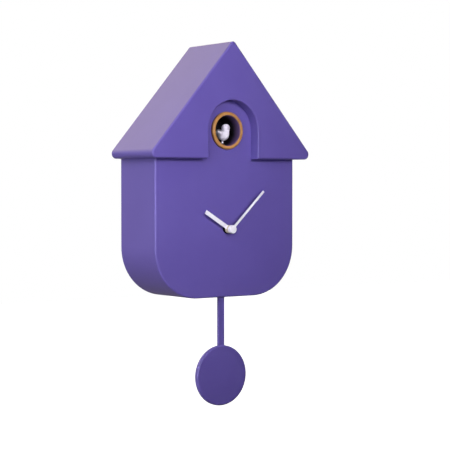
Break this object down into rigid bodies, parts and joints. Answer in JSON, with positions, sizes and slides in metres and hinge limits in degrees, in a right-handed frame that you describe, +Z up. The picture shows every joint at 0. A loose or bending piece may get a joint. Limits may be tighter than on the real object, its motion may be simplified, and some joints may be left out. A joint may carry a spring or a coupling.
{
  "type": "cuckoo clock",
  "caption": "House-shaped wall cuckoo clock with a gabled roof, a round nest with a sliding bird, two hands and a swinging disc pendulum.",
  "frame": {"origin": "where the shank of the wall screw carries the clock, at the top of the keyhole slot, on the wall plane", "axes": "+Z up, +Y into the wall, +X to the right as seen from the front; the dial looks along -Y"},
  "size_m": [0.21, 0.083, 0.4007],
  "materials": {
    "violet_plastic": "matte moulded",
    "cover_plastic": "fine grain",
    "ring_plastic": "satin",
    "white_plastic": "satin",
    "black_plastic": "matte",
    "grey_plastic": "matte",
    "gear_plastic": "satin",
    "steel": "zinc plated",
    "brass": "turned",
    "blackened_metal": "blackened",
    "copper_wire": "enamelled winding",
    "magnet": "sintered",
    "cone_paper": "pressed paper",
    "circuit_board": "solder mask",
    "capacitor_sleeve": "sleeve",
    "gasket_rubber": "matte"
  },
  "bodies": {
    "case": {"front_housing": "violet_plastic", "roof_shell": "violet_plastic", "roof_screws": "steel", "back_cover": "cover_plastic", "cover_screws": "steel", "battery_box": "black_plastic", "battery_contacts": "steel", "speaker_frame": "steel", "speaker_cone": "cone_paper", "speaker_magnet": "magnet", "sound_board": "circuit_board", "sound_chip": "black_plastic", "board_capacitors": "capacitor_sleeve", "board_screws": "steel", "sound_switch": "black_plastic", "nest_ring": "ring_plastic", "nest_tube": "black_plastic", "movement_case": "grey_plastic", "movement_cover": "grey_plastic", "threaded_bush": "brass", "bush_gasket": "gasket_rubber", "bush_washer": "blackened_metal", "bush_nut": "blackened_metal", "step_coil": "copper_wire", "step_stator": "steel", "pendulum_bracket": "grey_plastic", "bracket_screws": "steel", "pendulum_pin": "steel", "pivot_clip": "steel", "pendulum_coil": "copper_wire", "bird_bracket": "grey_plastic", "bird_bracket_screws": "steel", "gear_axle": "steel", "motor_can": "steel", "motor_endcap": "grey_plastic"},
    "minute_work": {"centre_arbor": "gear_plastic", "minute_hand": "white_plastic", "hand_cap": "white_plastic"},
    "hour_work": {"hour_wheel": "gear_plastic", "hour_hand": "white_plastic"},
    "motion_wheel": {"minute_wheel": "gear_plastic"},
    "setting": {"setting_stem": "gear_plastic", "setting_knob": "cover_plastic"},
    "pendulum": {"pendulum_hanger": "grey_plastic", "pendulum_magnet": "magnet", "pendulum_rod": "violet_plastic", "pendulum_bob": "violet_plastic"},
    "bird": {"bird_carriage": "gear_plastic", "bird_arm": "black_plastic", "bird_body": "white_plastic"},
    "bird_drive_gear": {"drive_gear": "gear_plastic"},
    "bird_motor": {"motor_pinion": "gear_plastic"},
    "door": {"battery_door": "cover_plastic"},
    "sound_slider": {"switch_slider": "black_plastic"}
  },
  "joints": [
    {"name": "minute_turn", "type": "hinge", "parent": "case", "child": "minute_work", "pos_m": [0, -0.07, -0.15892], "axis": [0, 1, 0], "continuous": true},
    {"name": "hour_turn", "type": "hinge", "parent": "case", "child": "hour_work", "pos_m": [0, -0.07, -0.15892], "axis": [0, 1, 0], "continuous": true},
    {"name": "motion_turn", "type": "hinge", "parent": "case", "child": "motion_wheel", "pos_m": [0, -0.06, -0.14892], "axis": [0, 1, 0], "continuous": true},
    {"name": "setting_turn", "type": "hinge", "parent": "case", "child": "setting", "pos_m": [0, -0.03, -0.13892], "axis": [0, 1, 0], "continuous": true},
    {"name": "pendulum_swing", "type": "hinge", "parent": "case", "child": "pendulum", "pos_m": [0, -0.058, -0.20992], "axis": [0, 1, 0], "range_deg": [-6, 6]},
    {"name": "bird_slide", "type": "slide", "parent": "case", "child": "bird", "axis": [0, -1, 0], "range_m": [0, 0.02]},
    {"name": "drive_gear_turn", "type": "hinge", "parent": "case", "child": "bird_drive_gear", "pos_m": [0, -0.03, -0.08195], "axis": [1, 0, 0], "range_deg": [0, 290]},
    {"name": "motor_turn", "type": "hinge", "parent": "case", "child": "bird_motor", "pos_m": [0, -0.0175, -0.08195], "axis": [1, 0, 0], "range_deg": [-1150, 0]},
    {"name": "battery_door_lift", "type": "slide", "parent": "case", "child": "door", "axis": [0, 1, 0], "range_m": [0, 0.06]},
    {"name": "sound_switch_slide", "type": "slide", "parent": "case", "child": "sound_slider", "axis": [1, 0, 0], "range_m": [0, 0.004]}
  ],
  "couplings": [
    {"joint": "hour_turn", "follows": "minute_turn", "ratio": 0.083333},
    {"joint": "motion_turn", "follows": "minute_turn", "ratio": -0.33333},
    {"joint": "setting_turn", "follows": "minute_turn", "ratio": 1},
    {"joint": "drive_gear_turn", "follows": "bird_slide", "rad_per_m": 250},
    {"joint": "motor_turn", "follows": "bird_slide", "rad_per_m": -1000}
  ]
}
